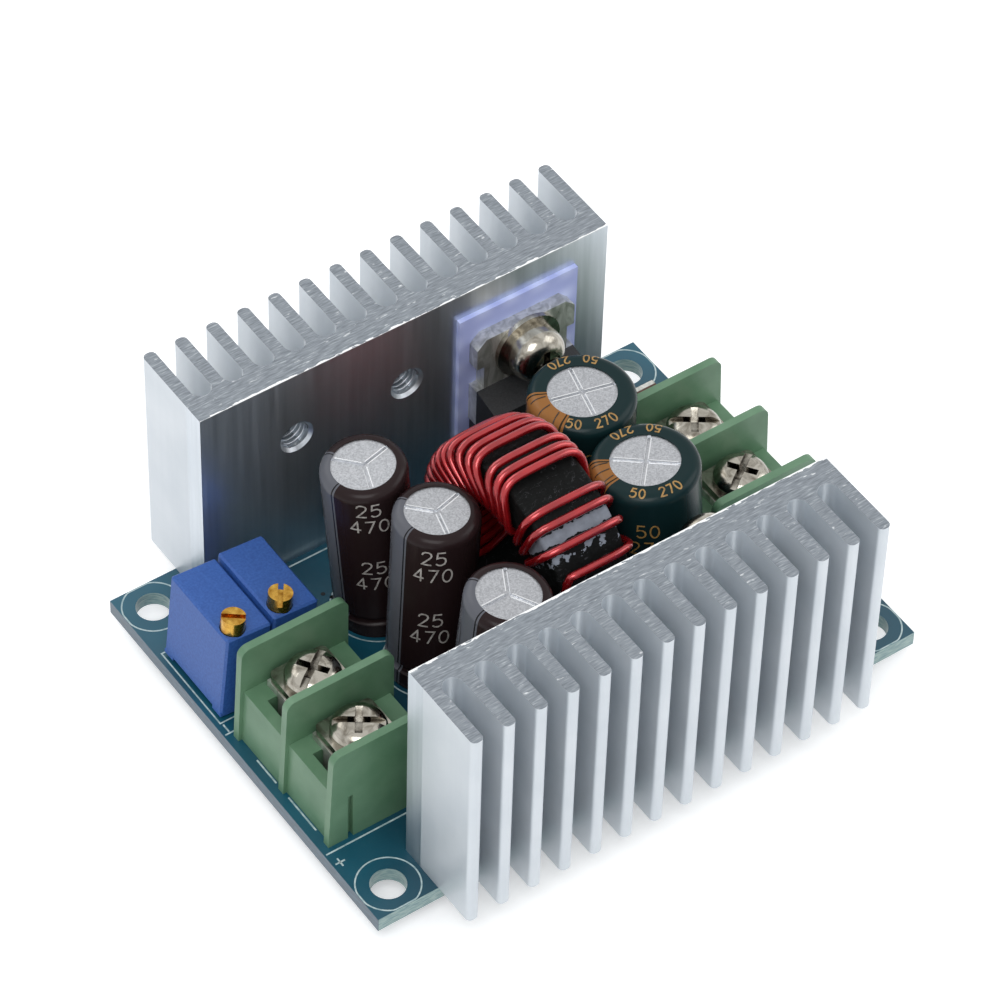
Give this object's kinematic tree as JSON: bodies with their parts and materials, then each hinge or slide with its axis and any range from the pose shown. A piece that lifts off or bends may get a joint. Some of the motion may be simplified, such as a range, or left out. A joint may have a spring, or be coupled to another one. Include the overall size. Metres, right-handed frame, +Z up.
{
  "type": "buck converter module",
  "caption": "Step-down converter board with finned heatsinks, upright capacitors, a wound ring inductor, trimmers and screw terminals.",
  "frame": {"origin": "centre of the four mounting holes, on the board's underside", "axes": "+X towards the input terminal, +Y towards the heatsink with two free tapped holes in view, +Z up"},
  "size_m": [0.06, 0.054, 0.0284],
  "materials": {
    "board_laminate": "teal solder mask over glass laminate",
    "solder": "bright solder",
    "heatsink_aluminium": "extruded, satin, sawn ends",
    "silicone_pad": "matt lavender silicone",
    "tinned_copper": "tinned",
    "epoxy_moulding": "moulded, fine matt",
    "plated_steel": "nickel plated",
    "can_aluminium": "drawn, fine speckle",
    "brown_sleeve": "shrunk film",
    "green_sleeve": "shrunk film",
    "seal_rubber": "moulded",
    "powder_core": "black coating, worn in places",
    "red_enamelled_wire": "glossy enamel",
    "trimmer_case": "moulded, fine matt",
    "turned_brass": "turned",
    "terminal_plastic": "moulded",
    "chip_ceramic": "fired ceramic"
  },
  "bodies": {
    "board": {"circuit_board": "board_laminate", "solder_joints": "solder", "rear_heatsink": "heatsink_aluminium", "front_heatsink": "heatsink_aluminium", "rear_thermal_pad": "silicone_pad", "front_thermal_pad": "silicone_pad", "rear_device_tab": "tinned_copper", "front_device_tab": "tinned_copper", "rear_device_leads": "tinned_copper", "front_device_leads": "tinned_copper", "capacitor_leads": "tinned_copper", "trimmer_pins": "tinned_copper", "chip_legs": "tinned_copper", "out_contact_1": "tinned_copper", "out_contact_2": "tinned_copper", "in_contact_1": "tinned_copper", "in_contact_2": "tinned_copper", "rear_device_package": "epoxy_moulding", "front_device_package": "epoxy_moulding", "pwm_controller": "epoxy_moulding", "current_comparator": "epoxy_moulding", "current_shunts": "epoxy_moulding", "chip_resistors": "epoxy_moulding", "device_screws": "plated_steel", "device_flat_washers": "plated_steel", "device_lock_washers": "plated_steel", "output_capacitor_1_can": "can_aluminium", "output_capacitor_2_can": "can_aluminium", "output_capacitor_3_can": "can_aluminium", "input_capacitor_1_can": "can_aluminium", "input_capacitor_2_can": "can_aluminium", "output_capacitor_1_sleeve": "brown_sleeve", "output_capacitor_2_sleeve": "brown_sleeve", "output_capacitor_3_sleeve": "brown_sleeve", "input_capacitor_1_sleeve": "green_sleeve", "input_capacitor_2_sleeve": "green_sleeve", "output_capacitor_1_seal": "seal_rubber", "output_capacitor_2_seal": "seal_rubber", "output_capacitor_3_seal": "seal_rubber", "input_capacitor_1_seal": "seal_rubber", "input_capacitor_2_seal": "seal_rubber", "inductor_core": "powder_core", "inductor_winding": "red_enamelled_wire", "voltage_trimmer_body": "trimmer_case", "current_trimmer_body": "trimmer_case", "out_terminal_housing": "terminal_plastic", "in_terminal_housing": "terminal_plastic", "chip_capacitors": "chip_ceramic", "input_chip_capacitor": "chip_ceramic"},
    "voltage_trimmer_screw": {"voltage_trimmer_screw": "turned_brass"},
    "current_trimmer_screw": {"current_trimmer_screw": "turned_brass"},
    "out_clamp_washer_1": {"out_clamp_washer_1": "plated_steel"},
    "out_clamp_screw_1": {"out_clamp_screw_1": "plated_steel"},
    "out_clamp_washer_2": {"out_clamp_washer_2": "plated_steel"},
    "out_clamp_screw_2": {"out_clamp_screw_2": "plated_steel"},
    "in_clamp_washer_1": {"in_clamp_washer_1": "plated_steel"},
    "in_clamp_screw_1": {"in_clamp_screw_1": "plated_steel"},
    "in_clamp_washer_2": {"in_clamp_washer_2": "plated_steel"},
    "in_clamp_screw_2": {"in_clamp_screw_2": "plated_steel"}
  },
  "joints": [
    {"name": "voltage_adjust", "type": "hinge", "parent": "board", "child": "voltage_trimmer_screw", "pos_m": [-0.02689, 0.00585, 0.01188], "axis": [0.0958, 0, 0.9954], "continuous": true},
    {"name": "current_adjust", "type": "hinge", "parent": "board", "child": "current_trimmer_screw", "pos_m": [-0.02184, 0.00585, 0.01188], "axis": [0.0958, 0, 0.9954], "continuous": true},
    {"name": "out_clamp_lift_1", "type": "slide", "parent": "board", "child": "out_clamp_washer_1", "axis": [0, 0, 1], "range_m": [0, 0.0018]},
    {"name": "out_screw_turn_1", "type": "hinge", "parent": "out_clamp_washer_1", "child": "out_clamp_screw_1", "pos_m": [-0.0232, -0.0017, 0.0099], "axis": [0, 0, 1], "range_deg": [0, 1296]},
    {"name": "out_clamp_lift_2", "type": "slide", "parent": "board", "child": "out_clamp_washer_2", "axis": [0, 0, 1], "range_m": [0, 0.0018]},
    {"name": "out_screw_turn_2", "type": "hinge", "parent": "out_clamp_washer_2", "child": "out_clamp_screw_2", "pos_m": [-0.0232, -0.0091, 0.0099], "axis": [0, 0, 1], "range_deg": [0, 1296]},
    {"name": "in_clamp_lift_1", "type": "slide", "parent": "board", "child": "in_clamp_washer_1", "axis": [0, 0, 1], "range_m": [0, 0.0018]},
    {"name": "in_screw_turn_1", "type": "hinge", "parent": "in_clamp_washer_1", "child": "in_clamp_screw_1", "pos_m": [0.0231, -0.0038, 0.0099], "axis": [0, 0, 1], "range_deg": [0, 1296]},
    {"name": "in_clamp_lift_2", "type": "slide", "parent": "board", "child": "in_clamp_washer_2", "axis": [0, 0, 1], "range_m": [0, 0.0018]},
    {"name": "in_screw_turn_2", "type": "hinge", "parent": "in_clamp_washer_2", "child": "in_clamp_screw_2", "pos_m": [0.0231, 0.0036, 0.0099], "axis": [0, 0, 1], "range_deg": [0, 1296]}
  ],
  "couplings": [
    {"joint": "out_screw_turn_1", "follows": "out_clamp_lift_1", "rad_per_m": 12566},
    {"joint": "out_screw_turn_2", "follows": "out_clamp_lift_2", "rad_per_m": 12566},
    {"joint": "in_screw_turn_1", "follows": "in_clamp_lift_1", "rad_per_m": 12566},
    {"joint": "in_screw_turn_2", "follows": "in_clamp_lift_2", "rad_per_m": 12566}
  ]
}
